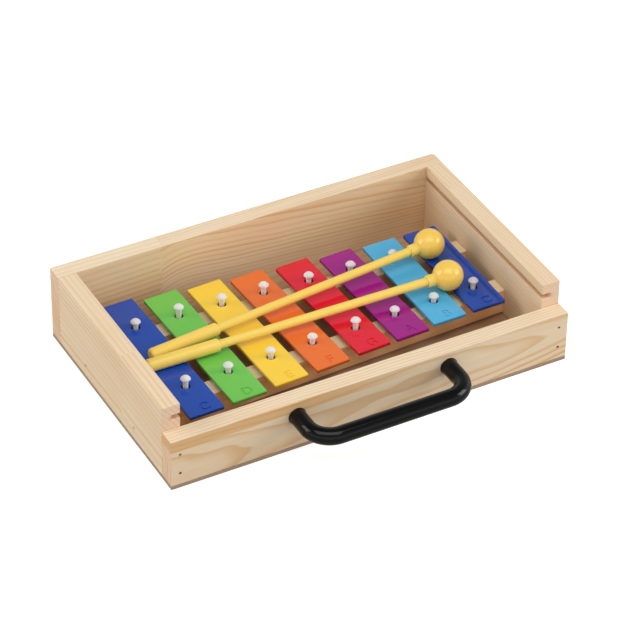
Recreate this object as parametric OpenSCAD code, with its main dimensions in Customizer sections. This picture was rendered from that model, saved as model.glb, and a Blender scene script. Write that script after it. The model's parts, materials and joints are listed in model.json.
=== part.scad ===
// Eight-note xylophone: metal bars on two wooden rails in an open wooden case,
// with a carrying handle and two mallets lying across the bars.
// Millimetres. The case's bottom face is centred on the origin, +Z is up and
// the handle points to -Y. Bars, pins and washers count from the lowest note.

/* [Case] */
// Outside width of the case, left to right
case_w = 300; // [290:1:400]
// Outside depth of the case, without the handle
case_d = 184; // [156:1:260]
// Height of the back and side walls above the table
wall_h = 58.3; // [54:0.1:90]
// Height of the low front wall above the table
front_h = 39.4; // [36:0.1:46]
// Thickness of the two side walls
side_t = 13.5; // [12:0.5:16]
// Thickness of the front and back walls
end_t = 13; // [10:0.5:18]
// Thickness of the bottom panel
panel_t = 3; // [2:0.5:6]
// Height of the lid groove's lower edge above the table
groove_z = 46.6; // [44:0.1:50]
// Height of the lid groove
groove_h = 3.8; // [3:0.1:5]
// Depth of the lid groove into each side wall
groove_depth = 6.3; // [4:0.1:8]

/* [Rails] */
// Width of each rail
rail_w = 14; // [12:0.5:20]
// Height of each rail
rail_h = 18.7; // [14:0.1:24]
// Gap between the bottom panel and the rails
rail_lift = 1.9; // [0:0.1:5]
// Distance between the rails' centre lines in the middle of the case
rail_spread = 62.9; // [50:0.1:76]
// Distance of the rails' common middle behind the case's middle
rail_mid_y = 0.65; // [-3:0.05:3]
// Angle that each rail is turned, so that they close up towards the high notes
rail_turn = 2.4; // [1:0.1:4]

/* [Bars] */
// Gap between neighbouring bars
bar_gap = 6.5; // [5:0.1:10]
// Gap between the row of bars and each side wall
row_gap = 11.75; // [10:0.25:25]
// Distance of the row's middle to the right of the case's middle
row_x = 1.6; // [-4:0.1:4]
// Gap in front of and behind the lowest bar
bar_end_gap = 12.25; // [6:0.25:30]
// How much shorter each bar is than the lowest one
bar_short = [0, 6, 12, 17, 23, 28.5, 34, 35.5]; // [0:0.5:40]
// Thickness of the bars
bar_t = 2.8; // [2:0.1:4]
// Rounding of the bars' corners
bar_corner_r = 1; // [0.5:0.1:3]
// Diameter of the two holes in each bar
hole_d = 6.1; // [5:0.1:7]

/* [Pins and washers] */
// Diameter of a pin's shank
pin_d = 3.7; // [3:0.1:4.5]
// Diameter of a pin's domed head
pin_head_d = 7.2; // [6.6:0.1:9]
// Height of a pin's domed head
pin_head_h = 2.5; // [1.5:0.1:3.5]
// Depth that a pin is driven into its rail
pin_depth = 14; // [8:0.5:18]
// Height of the front pins' heads above the bars
front_pin_rise = [6, 5, 5.5, 5, 6, 4, 4, 5.5]; // [3.5:0.5:9]
// Height of the back pins' heads above the bars
back_pin_rise = [4.5, 7, 6, 6.5, 4.5, 4, 4, 4]; // [3.5:0.5:9]
// Distance of the pins' rows behind the rails' centre lines
pin_shift = 0.95; // [-2:0.05:2]
// Angle between the pins' rows and the rails
pin_skew = 0.75; // [0:0.05:1]
// Outside diameter of the soft washers under the bars
washer_d = 9; // [8:0.5:12]
// Thickness of the soft washers
washer_t = 3.6; // [2:0.1:6]

/* [Handle] */
// Diameter of the handle's rod
handle_d = 12; // [9:0.5:15]
// Distance between the handle's two legs
handle_w = 114.5; // [80:0.1:180]
// Distance of the handle's centre line from the front wall
handle_reach = 30.1; // [24:0.1:50]
// Bend radius of the rod's centre line
handle_bend_r = 16; // [8:0.5:18]
// Height of the handle's centre line above the table
handle_z = 28; // [20:0.5:29]
// Distance of the handle's middle from the case's middle
handle_x = -0.8; // [-10:0.1:10]

/* [Mallets] */
// Diameter of a mallet's ball
ball_d = 21.7; // [18:0.1:28]
// Length from a ball's centre to the end of the grip
mallet_l = 224.5; // [180:0.5:232]
// Diameter of the grip
grip_d = 9.3; // [8:0.1:12]
// Length of the grip
grip_l = 52.5; // [40:0.5:80]
// Diameter of the thin shaft
shaft_d = 6.2; // [4.5:0.1:7]
// Diameter of the collar behind the ball
collar_d = 8.6; // [7.8:0.1:10]
// Length from the start of the collar to the ball's centre
collar_l = 16.5; // [14:0.5:24]
// Clearance between the mallets and what they lie on, and between their grips
rest_gap = 0.3; // [0.2:0.05:0.6]

/* [Nails and screws] */
// Diameter of a nail's shank
nail_d = 1.4; // [1:0.1:2.4]
// Diameter of a nail's head
nail_head_d = 2.4; // [2:0.1:4]
// Length of the nails in the walls
nail_l = 32; // [25:1:40]
// Length of the nails in the bottom panel
panel_nail_l = 15; // [10:1:20]
// Diameter of the handle's screws
screw_d = 4; // [3:0.1:5]
// Length of the handle's screws, without the head
screw_l = 26; // [20:1:40]

/* [Hidden] */
$fn = 64;

bar_names = ["bar_low_c", "bar_d", "bar_e", "bar_f", "bar_g", "bar_a", "bar_b", "bar_high_c"];
bar_colors = ["royalblue", "limegreen", "gold", "tomato", "crimson", "purple", "deepskyblue", "mediumblue"];

// How each bar has settled on its pins: sideways, backwards, and turned to the left
bar_lie = [
    [-0.4, 2.9, 1.3],
    [-0.5, 1.3, 1.7],
    [-0.4, 0.9, 2.3],
    [-0.7, 0.2, 3.0],
    [1.1, 0.8, 2.8],
    [0.5, -0.7, 1.9],
    [0.4, -0.4, 0.3],
    [0.4, -0.2, -0.1]
];

inner_w = case_w - 2 * side_t;
inner_d = case_d - 2 * end_t;
bar_count = len(bar_names);
last_bar = bar_count - 1;
bar_w = (inner_w - 2 * row_gap - (bar_count - 1) * bar_gap) / bar_count;
bar_pitch = bar_w + bar_gap;

rail_z = panel_t + rail_lift;
rail_top = rail_z + rail_h;
bar_z = rail_top + washer_t;
bar_top = bar_z + bar_t;

// Rows of pins and rails: 0 is the front one, 1 the back one
FRONT = 0;
BACK = 1;
function row_side(row) = row == FRONT ? -1 : 1;
function rail_y(row) = rail_mid_y + row_side(row) * rail_spread / 2;
function rail_angle(row) = -row_side(row) * rail_turn;
function rail_y_at(row, x) = rail_y(row) + x * tan(rail_angle(row));
function pin_row_y(row) = rail_y(row) + pin_shift;
function pin_row_slope(row) = tan(rail_angle(row) - pin_skew);

function bar_len(i) = inner_d - 2 * bar_end_gap - bar_short[i];
function bar_x(i) = row_x + (i - last_bar / 2) * bar_pitch + bar_lie[i][0];
function bar_y(i) = bar_lie[i][1];
function bar_turn(i) = bar_lie[i][2];

// Distance along a bar from its middle to where it crosses a row of pins
function hole_reach(i, row) =
    (pin_row_y(row) + pin_row_slope(row) * bar_x(i) - bar_y(i))
    / (cos(bar_turn(i)) + pin_row_slope(row) * sin(bar_turn(i)));
function pin_x(i, row) = bar_x(i) - hole_reach(i, row) * sin(bar_turn(i));
function pin_y(i, row) = bar_y(i) + hole_reach(i, row) * cos(bar_turn(i));
function pin_rise(i, row) = row == FRONT ? front_pin_rise[i] : back_pin_rise[i];

// Each mallet leans from its ball to the end of its grip. The back ball lies on the
// last bar in front of its pin, the front ball in the gap between the last two bars.
ball_r = ball_d / 2;
grip_r = grip_d / 2;
ball_from_pin = 9.4;
ball_in_front = ball_r - 2.4;
front_ball_y = -19;
grips_y = -3.4;
grip_end_r = 2;
mallet_reach = mallet_l - grip_end_r;
function ball_x(row) = row == BACK
    ? pin_x(last_bar, BACK) - ball_from_pin
    : (bar_x(last_bar) + bar_x(last_bar - 1)) / 2;
function ball_y(row) = row == BACK ? pin_y(last_bar, BACK) - ball_in_front : front_ball_y;
function ball_z(row) = row == BACK
    ? bar_top + rest_gap + ball_r
    : bar_top + sqrt(pow(ball_r + rest_gap, 2) - pow(bar_gap / 2, 2));
function grip_y(row) = grips_y + row_side(row) * (grip_d + rest_gap) / 2;
grip_z = bar_top + rest_gap + grip_r;
function mallet_pitch(row) = asin((ball_z(row) - grip_z) / mallet_reach);
function mallet_yaw(row) = asin((ball_y(row) - grip_y(row)) / (mallet_reach * cos(mallet_pitch(row))));

shoulder_r = 1.6;
collar_round = 0.6;
peg_l = 5;

side_mid = case_w / 2 - side_t / 2;
front_nail_z = [[12, 27.4], [12.7, 29.2]];
back_nail_z = [12, 26, 40];
nail_head_h = 0.6;
rail_nail_z = 11.9;
panel_nail_x = [-115, -40, 40, 115];
panel_nail_y = [-52, 0, 52];
screw_head_d = 8;
screw_head_h = 2.4;

// A box given by its two opposite corners
module box(low, high) {
    translate(low) cube(high - low);
}

// A rod along +X that starts at the origin
module rod(length, d) {
    rotate([0, 90, 0]) cylinder(h = length, d = d);
}

// A flat plate in the middle of the origin, with round corners
module plate(width, length, thickness, corner_r) {
    linear_extrude(thickness) {
        square([width - 2 * corner_r, length], center = true);
        square([width, length - 2 * corner_r], center = true);
        for (x = [-1, 1], y = [-1, 1])
            translate([x * (width / 2 - corner_r), y * (length / 2 - corner_r)]) circle(corner_r);
    }
}

// ---- Fasteners ----

// A nail driven along +Z, its head's top face at the origin
module nail(length) {
    cylinder(h = nail_head_h, d = nail_head_d);
    cylinder(h = length, d = nail_d);
}

module corner_nail_shapes() {
    for (side = [0, 1], z = front_nail_z[side])
        translate([(2 * side - 1) * side_mid, -case_d / 2, z]) rotate([-90, 0, 0]) nail(nail_l);
    for (side = [-1, 1], z = back_nail_z)
        translate([side * side_mid, case_d / 2, z]) rotate([90, 0, 0]) nail(nail_l);
}

module rail_nail_shapes() {
    for (side = [-1, 1], row = [FRONT, BACK])
        translate([side * case_w / 2, rail_y_at(row, side * inner_w / 2), rail_nail_z])
            rotate([0, -side * 90, 0]) nail(nail_l);
}

module panel_nail_shapes() {
    for (x = panel_nail_x, side = [-1, 1])
        translate([x, side * (case_d / 2 - end_t / 2), 0]) nail(panel_nail_l);
    for (side = [-1, 1], y = panel_nail_y)
        translate([side * side_mid, y, 0]) nail(panel_nail_l);
}

module screw_shapes() {
    for (side = [-1, 1])
        translate([handle_x + side * handle_w / 2, -case_d / 2 + end_t, handle_z]) rotate([90, 0, 0]) {
            cylinder(h = screw_l, d = screw_d);
            translate([0, 0, -screw_head_h]) cylinder(h = screw_head_h, d = screw_head_d);
        }
}

module corner_nails() {
    color("dimgray") corner_nail_shapes();
}

module rail_nails() {
    color("dimgray") rail_nail_shapes();
}

module panel_nails() {
    color("dimgray") panel_nail_shapes();
}

module handle_screws() {
    color("silver") screw_shapes();
}

// ---- Case ----

module bottom_panel() {
    color("tan") difference() {
        box([-case_w / 2, -case_d / 2, 0], [case_w / 2, case_d / 2, panel_t]);
        panel_nail_shapes();
    }
}

module back_wall() {
    color("wheat") difference() {
        box([-case_w / 2, case_d / 2 - end_t, panel_t], [case_w / 2, case_d / 2, wall_h]);
        corner_nail_shapes();
        panel_nail_shapes();
    }
}

module front_wall() {
    color("wheat") difference() {
        box([-case_w / 2, -case_d / 2, panel_t], [case_w / 2, -case_d / 2 + end_t, front_h]);
        corner_nail_shapes();
        panel_nail_shapes();
        screw_shapes();
    }
}

// A side wall between the front and back walls, with the lid's groove in its inner face
module side_wall(side) {
    color("burlywood") difference() {
        translate([side * side_mid, 0, (panel_t + wall_h) / 2])
            cube([side_t, inner_d, wall_h - panel_t], center = true);
        translate([side * inner_w / 2, 0, groove_z + groove_h / 2])
            cube([2 * groove_depth, case_d, groove_h], center = true);
        corner_nail_shapes();
        rail_nail_shapes();
        panel_nail_shapes();
    }
}

module left_wall() {
    side_wall(-1);
}

module right_wall() {
    side_wall(1);
}

// ---- Rails, washers and pins ----

// A rail nailed between the side walls, drilled for its pins
module rail(row) {
    color("navajowhite") difference() {
        intersection() {
            translate([0, rail_y(row), rail_z + rail_h / 2])
                rotate([0, 0, rail_angle(row)]) cube([case_w, rail_w, rail_h], center = true);
            translate([-inner_w / 2, -inner_d / 2, 0]) cube([inner_w, inner_d, wall_h]);
        }
        pin_shank_shapes(row);
        rail_nail_shapes();
    }
}

module back_rail() {
    rail(BACK);
}

module front_rail() {
    rail(FRONT);
}

module pin_shank_shapes(row) {
    for (i = [0 : last_bar])
        translate([pin_x(i, row), pin_y(i, row), rail_top - pin_depth])
            cylinder(h = bar_top + pin_rise(i, row) - rail_top + pin_depth, d = pin_d);
}

// The domed head of a pin, flat side down
module pin_head() {
    dome_r = (pow(pin_head_d / 2, 2) + pow(pin_head_h, 2)) / (2 * pin_head_h);
    intersection() {
        translate([0, 0, pin_head_h - dome_r]) sphere(dome_r);
        cylinder(h = pin_head_h, d = pin_head_d);
    }
}

module pins(row) {
    color("ghostwhite") {
        pin_shank_shapes(row);
        for (i = [0 : last_bar])
            translate([pin_x(i, row), pin_y(i, row), bar_top + pin_rise(i, row)]) pin_head();
    }
}

module back_pins() {
    pins(BACK);
}

module front_pins() {
    pins(FRONT);
}

module washers(row) {
    color("darkslategray") difference() {
        for (i = [0 : last_bar])
            translate([pin_x(i, row), pin_y(i, row), rail_top]) cylinder(h = washer_t, d = washer_d);
        pin_shank_shapes(row);
    }
}

module back_washers() {
    washers(BACK);
}

module front_washers() {
    washers(FRONT);
}

// ---- Bars ----

// One tuned bar, drilled where it crosses the two rows of pins
module bar(i) {
    color(bar_colors[i]) translate([bar_x(i), bar_y(i), bar_z]) rotate([0, 0, bar_turn(i)])
        difference() {
            plate(bar_w, bar_len(i), bar_t, bar_corner_r);
            for (row = [FRONT, BACK])
                translate([0, hole_reach(i, row), -1]) cylinder(h = bar_t + 2, d = hole_d);
        }
}

// ---- Handle ----

// One round rod bent into two legs and a straight run
module handle() {
    run = handle_w - 2 * handle_bend_r;
    leg = handle_reach - handle_bend_r;
    color("black") difference() {
        translate([handle_x, -case_d / 2, handle_z]) {
            translate([-run / 2, -handle_reach, 0]) rod(run, handle_d);
            for (side = [-1, 1]) {
                translate([side * handle_w / 2, 0, 0]) rotate([90, 0, 0]) cylinder(h = leg, d = handle_d);
                translate([side * run / 2, -leg, 0]) rotate([0, 0, side > 0 ? -90 : 180])
                    rotate_extrude(angle = 90) translate([handle_bend_r, 0]) circle(d = handle_d);
            }
        }
        screw_shapes();
    }
}

// ---- Mallets ----

// Moves a mallet that lies along X, its ball's centre at the origin, to its place
module lay_mallet(row) {
    translate([ball_x(row), ball_y(row), ball_z(row)])
        rotate([0, -mallet_pitch(row), mallet_yaw(row)]) children();
}

// The rounded end of a rod along X: it starts at the origin and closes towards +X
module shoulder(d, r) {
    rotate([0, 90, 0]) rotate_extrude() {
        square([d / 2 - r, r]);
        translate([d / 2 - r, 0]) intersection() {
            circle(r);
            square(r);
        }
    }
}

// Grip with rounded ends, a thin shaft, a collar against the ball, and the peg that holds the ball
module mallet_stick(row) {
    grip_start = -mallet_l + grip_end_r;
    grip_end = -mallet_l + grip_l - shoulder_r;
    color("gold") lay_mallet(row) {
        translate([grip_start, 0, 0]) {
            mirror([1, 0, 0]) shoulder(grip_d, grip_end_r);
            rod(grip_end - grip_start, grip_d);
        }
        translate([grip_end, 0, 0]) shoulder(grip_d, shoulder_r);
        translate([grip_end, 0, 0]) rod(peg_l - grip_end, shaft_d);
        difference() {
            translate([-collar_l + collar_round, 0, 0]) {
                rod(collar_l - collar_round, collar_d);
                mirror([1, 0, 0]) shoulder(collar_d, collar_round);
            }
            sphere(ball_r);
        }
    }
}

// The striking ball, drilled for the stick's peg
module mallet_ball(row) {
    color("orange") lay_mallet(row) difference() {
        sphere(ball_r);
        translate([-ball_d, 0, 0]) rod(ball_d + peg_l, shaft_d);
    }
}

module back_mallet_stick() {
    mallet_stick(BACK);
}

module back_mallet_ball() {
    mallet_ball(BACK);
}

module front_mallet_stick() {
    mallet_stick(FRONT);
}

module front_mallet_ball() {
    mallet_ball(FRONT);
}

bottom_panel();
back_wall();
front_wall();
left_wall();
right_wall();
back_rail();
front_rail();
for (i = [0 : last_bar]) bar(i);
back_pins();
front_pins();
back_washers();
front_washers();
handle();
handle_screws();
corner_nails();
rail_nails();
panel_nails();
back_mallet_stick();
back_mallet_ball();
front_mallet_stick();
front_mallet_ball();
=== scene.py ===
import json
import math

import bmesh
import bpy
from mathutils import Euler, Matrix, Vector


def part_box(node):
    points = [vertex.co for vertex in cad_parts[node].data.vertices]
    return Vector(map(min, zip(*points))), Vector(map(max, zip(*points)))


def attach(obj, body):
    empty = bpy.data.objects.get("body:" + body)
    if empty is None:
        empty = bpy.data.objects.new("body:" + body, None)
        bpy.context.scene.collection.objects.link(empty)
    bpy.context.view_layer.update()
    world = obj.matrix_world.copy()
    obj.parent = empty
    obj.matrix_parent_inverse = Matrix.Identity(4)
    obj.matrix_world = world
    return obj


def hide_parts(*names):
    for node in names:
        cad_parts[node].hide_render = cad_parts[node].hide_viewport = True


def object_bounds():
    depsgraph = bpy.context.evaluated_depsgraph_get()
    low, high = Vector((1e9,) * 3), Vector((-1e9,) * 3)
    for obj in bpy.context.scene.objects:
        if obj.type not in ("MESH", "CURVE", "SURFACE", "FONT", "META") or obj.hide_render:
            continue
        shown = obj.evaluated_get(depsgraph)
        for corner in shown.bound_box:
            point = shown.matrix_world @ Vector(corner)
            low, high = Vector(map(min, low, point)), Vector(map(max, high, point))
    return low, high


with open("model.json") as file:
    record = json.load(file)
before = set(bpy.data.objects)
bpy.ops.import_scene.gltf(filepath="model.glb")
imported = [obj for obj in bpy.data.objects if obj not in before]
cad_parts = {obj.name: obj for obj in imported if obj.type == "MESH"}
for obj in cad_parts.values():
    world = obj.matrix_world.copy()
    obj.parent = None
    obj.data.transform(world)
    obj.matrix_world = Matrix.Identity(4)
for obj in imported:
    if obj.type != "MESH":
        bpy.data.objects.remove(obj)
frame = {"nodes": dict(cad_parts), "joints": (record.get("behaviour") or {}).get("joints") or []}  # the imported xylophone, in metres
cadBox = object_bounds()
mm = 0.001


# small helpers for working on a mesh by hand

def deselectAll():
    if bpy.context.object and bpy.context.object.mode != "OBJECT":
        bpy.ops.object.mode_set(mode="OBJECT")
    bpy.ops.object.select_all(action="DESELECT")


def makeActive(piece):
    deselectAll()
    piece.select_set(True)
    bpy.context.view_layer.objects.active = piece


def addBlock(name, low, high):
    deselectAll()
    bpy.ops.mesh.primitive_cube_add(size=1, location=(low + high) / 2, scale=high - low)
    piece = bpy.context.object
    piece.name = name
    bpy.ops.object.transform_apply(location=True, rotation=True, scale=True)
    return piece


def editMode(piece, selectMode):
    makeActive(piece)
    bpy.ops.object.mode_set(mode="EDIT")
    bpy.ops.mesh.select_mode(type=selectMode)
    bpy.ops.mesh.select_all(action="DESELECT")
    return bmesh.from_edit_mesh(piece.data)


def pickEdges(piece, test):
    shape = editMode(piece, "EDGE")
    for edge in shape.edges:
        a, b = edge.verts[0].co, edge.verts[1].co
        edge.select_set(test((a + b) / 2, (b - a).normalized()))
    bmesh.update_edit_mesh(piece.data)


def objectMode():
    bpy.ops.object.mode_set(mode="OBJECT")


def editAll(piece):
    editMode(piece, "FACE")
    bpy.ops.mesh.select_all(action="SELECT")


def pullFace(x, y, z):
    bpy.ops.mesh.extrude_region_move(TRANSFORM_OT_translate={"value": (x, y, z)})


def discard(piece):
    bpy.data.objects.remove(piece, do_unlink=True)


def useModifier(piece, kind, **settings):
    makeActive(piece)
    modifier = piece.modifiers.new(kind.lower(), kind)
    for key, value in settings.items():
        setattr(modifier, key, value)
    bpy.ops.object.modifier_apply(modifier=modifier.name)


def softenEdges(piece, width, segments=3, angle=40):
    useModifier(piece, "BEVEL", width=width, segments=segments, limit_method="ANGLE",
                angle_limit=math.radians(angle), harden_normals=False)


def cutAway(piece, *cutters):
    for cutter in cutters:
        useModifier(piece, "BOOLEAN", operation="DIFFERENCE", solver="EXACT", object=cutter)
        discard(cutter)


def joinPieces(name, parts):
    makeActive(parts[0])
    for part in parts:
        part.select_set(True)
    bpy.ops.object.join()
    piece = bpy.context.object
    piece.name = name
    return piece


def copyOf(piece, name):
    twin = piece.copy()
    twin.data = piece.data.copy()
    twin.name = name
    bpy.context.collection.objects.link(twin)
    return twin


def place(piece, matrix):
    # puts the place into the mesh, so that the object itself stays at the origin
    piece.matrix_world = matrix @ piece.matrix_world
    makeActive(piece)
    bpy.ops.object.transform_apply(location=True, rotation=True, scale=True)


def turnOnLathe(name, rings, sides=48):
    # rings are (height, radius) pairs from the bottom up
    deselectAll()
    bpy.ops.mesh.primitive_circle_add(vertices=sides, radius=rings[0][1], fill_type="NGON",
                                      location=(0, 0, rings[0][0]))
    piece = bpy.context.object
    piece.name = name
    bpy.ops.object.transform_apply(location=True, rotation=True, scale=True)
    editAll(piece)
    for (lowZ, lowR), (highZ, highR) in zip(rings, rings[1:]):
        pullFace(0, 0, highZ - lowZ)
        grow = highR / lowR
        bpy.ops.transform.resize(value=(grow, grow, 1), center_override=(0, 0, highZ))
    bpy.ops.mesh.select_all(action="SELECT")
    bpy.ops.mesh.normals_make_consistent(inside=False)
    objectMode()
    return piece


def roundEdge(height, radius, edgeR, start, end, steps=5):
    # rings round an outer edge whose centre circle is edgeR inside; angles from the axis, in degrees
    rings = []
    for step in range(steps + 1):
        angle = math.radians(start + (end - start) * step / steps)
        rings.append((height + edgeR * math.cos(angle), radius - edgeR + edgeR * math.sin(angle)))
    return rings


def finishPiece(piece, material, body, nodes, angle=35):
    makeActive(piece)
    bpy.ops.object.shade_smooth_by_angle(angle=math.radians(angle))
    useModifier(piece, "WEIGHTED_NORMAL", keep_sharp=True, weight=100)  # keeps the broad faces flat
    piece.data.materials.clear()
    piece.data.materials.append(material)
    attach(piece, body)
    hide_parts(*nodes)
    return piece


def solidsOf(node):
    # the box of each separate solid in a frame node, in order from left to right
    shape = bmesh.new()
    shape.from_mesh(frame["nodes"][node].data)
    bmesh.ops.remove_doubles(shape, verts=shape.verts, dist=0.00001)
    boxes, seen = [], set()
    for first in shape.verts:
        if first in seen:
            continue
        seen.add(first)
        group = [first]
        for vert in group:
            for edge in vert.link_edges:
                other = edge.other_vert(vert)
                if other not in seen:
                    seen.add(other)
                    group.append(other)
        low = Vector([min(vert.co[k] for vert in group) for k in range(3)])
        high = Vector([max(vert.co[k] for vert in group) for k in range(3)])
        boxes.append((low, high))
    shape.free()
    return sorted(boxes, key=lambda box: (round(box[0].x, 4), box[0].y, box[0].z))


# small helpers for materials

def addNode(tree, kind, inputs=None, **settings):
    node = tree.nodes.new(kind)
    for key, value in settings.items():
        setattr(node, key, value)
    for key, value in (inputs or {}).items():
        if isinstance(value, bpy.types.NodeSocket):
            tree.links.new(value, node.inputs[key])
        else:
            node.inputs[key].default_value = value
    return node


def calc(tree, operation, *values, clamp=False):
    node = addNode(tree, "ShaderNodeMath", dict(enumerate(values)), operation=operation, use_clamp=clamp)
    return node.outputs[0]


def ease(tree, value, low, high, start=0.0, end=1.0):
    node = addNode(tree, "ShaderNodeMapRange",
                   {"Value": value, "From Min": low, "From Max": high, "To Min": start, "To Max": end},
                   interpolation_type="SMOOTHSTEP")
    return node.outputs["Result"]


def blendColors(tree, amount, first, second):
    colors = [color if isinstance(color, bpy.types.NodeSocket) else (*color, 1) for color in (first, second)]
    inputs = {0: amount, 6: colors[0], 7: colors[1]}
    return addNode(tree, "ShaderNodeMix", inputs, data_type="RGBA").outputs[2]


def axesOf(tree, vector):
    return addNode(tree, "ShaderNodeSeparateXYZ", {0: vector}).outputs


def noiseAt(tree, vector, scale, detail=2.0, stretch=(1, 1, 1)):
    moved = addNode(tree, "ShaderNodeMapping", {"Vector": vector, "Scale": stretch})
    return addNode(tree, "ShaderNodeTexNoise",
                   {"Vector": moved.outputs[0], "Scale": scale, "Detail": detail}).outputs


def feed(shader, label, value):
    if isinstance(value, bpy.types.NodeSocket):
        shader.id_data.links.new(value, shader.inputs[label])
    else:
        shader.inputs[label].default_value = value


def addBump(shader, height, strength, distance, label="Normal"):
    inputs = {"Height": height, "Strength": strength, "Distance": distance}
    feed(shader, label, addNode(shader.id_data, "ShaderNodeBump", inputs).outputs[0])


def tintShader(shader, amount, color):
    # lays a colour over the one that the shader already shows
    shown = shader.inputs["Base Color"].links[0].from_socket
    feed(shader, "Base Color", blendColors(shader.id_data, amount, shown, color))


def startMaterial(name):
    material = bpy.data.materials.new(name)
    material.use_nodes = True
    tree = material.node_tree
    tree.nodes.clear()
    shader = addNode(tree, "ShaderNodeBsdfPrincipled")
    addNode(tree, "ShaderNodeOutputMaterial", {"Surface": shader.outputs[0]})
    coords = addNode(tree, "ShaderNodeTexCoord")
    return material, tree, shader, coords.outputs


def startGroup(name, inputs, outputs):
    group = bpy.data.node_groups.new(name, "ShaderNodeTree")
    for label, kind, default in inputs:
        socket = group.interface.new_socket(name=label, in_out="INPUT", socket_type="NodeSocket" + kind)
        if default is not None:
            socket.default_value = default
    for label, kind in outputs:
        group.interface.new_socket(name=label, in_out="OUTPUT", socket_type="NodeSocket" + kind)
    return group, addNode(group, "NodeGroupInput").outputs, addNode(group, "NodeGroupOutput").inputs


def useGroup(tree, group, inputs):
    return addNode(tree, "ShaderNodeGroup", inputs, node_tree=group).outputs


# camera, floor and light
cameraSet = {
    "azimuth": -29.06,  # degrees, seen from the left of the handle
    "elevation": 37.49,
    "roll": 1.05,
    "distance": 2.152,
    "aim": (0.00285, -0.01083, 0.03),
    "lens": 178.5,
    "sensor": 36,
}

studio = {
    "wallLight": 0.2,  # soft white tent all round
    "lowLight": 1.25,  # and how much brighter it is near the floor
    "key": {"tilt": 31, "side": 0, "distance": 1.6, "width": 1.8, "height": 0.95, "power": 13.4},
    "left": {"tilt": 18, "side": -68, "distance": 1.6, "width": 0.8, "height": 0.9, "power": 7.0},
    "right": {"tilt": 20, "side": 74, "distance": 1.6, "width": 0.7, "height": 0.8, "power": 8.8},
    "floorColor": (0.5, 0.5, 0.495),
    "floorGlow": 0.72,
    "floorSize": 12,
    "floorGap": 0.2 * mm,  # below the object, so that the two share no plane
}


def viewDirections():
    turn, rise = math.radians(cameraSet["azimuth"]), math.radians(cameraSet["elevation"])
    back = Vector((math.sin(turn) * math.cos(rise), -math.cos(turn) * math.cos(rise), math.sin(rise)))
    right = Vector((math.cos(turn), math.sin(turn), 0))
    return back, right, back.cross(right)


def makeCamera():
    back, right, up = viewDirections()
    deselectAll()
    bpy.ops.object.camera_add()
    camera = bpy.context.object
    camera.name = "studioCamera"
    camera.data.lens = cameraSet["lens"]
    camera.data.sensor_width = cameraSet["sensor"]
    roll = Matrix.Rotation(math.radians(cameraSet["roll"]), 3, "Z")
    turned = (Matrix((right, up, back)).transposed() @ roll).to_4x4()
    stand = Vector(cameraSet["aim"]) + back * cameraSet["distance"]
    camera.matrix_world = Matrix.Translation(stand) @ turned
    bpy.context.scene.camera = camera


def addSoftBox(name, box):
    # tilt lifts the lamp above the camera's line and side swings it round the object
    back, right, up = viewDirections()
    raised = Matrix.Rotation(-math.radians(box["tilt"]), 3, right) @ back
    away = Matrix.Rotation(math.radians(box["side"]), 3, up) @ raised
    deselectAll()
    bpy.ops.object.light_add(type="AREA", location=away * box["distance"])
    lamp = bpy.context.object
    lamp.name = name
    lamp.rotation_euler = away.to_track_quat("Z", "Y").to_euler()
    lamp.data.shape = "RECTANGLE"
    lamp.data.size, lamp.data.size_y = box["width"], box["height"]
    lamp.data.energy = box["power"]


def makeStudio():
    scene = bpy.context.scene
    scene.view_settings.view_transform = "Standard"
    world = bpy.data.worlds.new("whiteTent")
    scene.world = world
    world.use_nodes = True
    tree = world.node_tree
    toward = axesOf(tree, addNode(tree, "ShaderNodeTexCoord").outputs["Generated"])
    low = calc(tree, "POWER", calc(tree, "SUBTRACT", 1.0, calc(tree, "ABSOLUTE", toward[2])), 2.0)
    tree.nodes["Background"].inputs["Color"].default_value = (1, 1, 1, 1)
    strength = calc(tree, "MULTIPLY_ADD", low, studio["lowLight"], studio["wallLight"])
    tree.links.new(strength, tree.nodes["Background"].inputs["Strength"])
    for name in ("key", "left", "right"):
        addSoftBox(name + "SoftBox", studio[name])
    deselectAll()
    floorZ = cadBox[0].z - studio["floorGap"]
    bpy.ops.mesh.primitive_plane_add(size=studio["floorSize"], location=(0, 0, floorZ))
    floor = bpy.context.object
    floor.name = "floor"
    material, tree, shader, _ = startMaterial("palePaper")
    feed(shader, "Base Color", (*studio["floorColor"], 1))
    feed(shader, "Roughness", 0.9)
    feed(shader, "Specular IOR Level", 0.1)
    feed(shader, "Emission Color", (1, 1, 1, 1))
    seen = addNode(tree, "ShaderNodeLightPath").outputs["Is Camera Ray"]  # the glow shows but lights nothing
    feed(shader, "Emission Strength", calc(tree, "MULTIPLY", seen, studio["floorGlow"]))
    floor.data.materials.append(material)


makeCamera()
makeStudio()
print("camera, floor and lights are up")


# effects that several materials share

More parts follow.
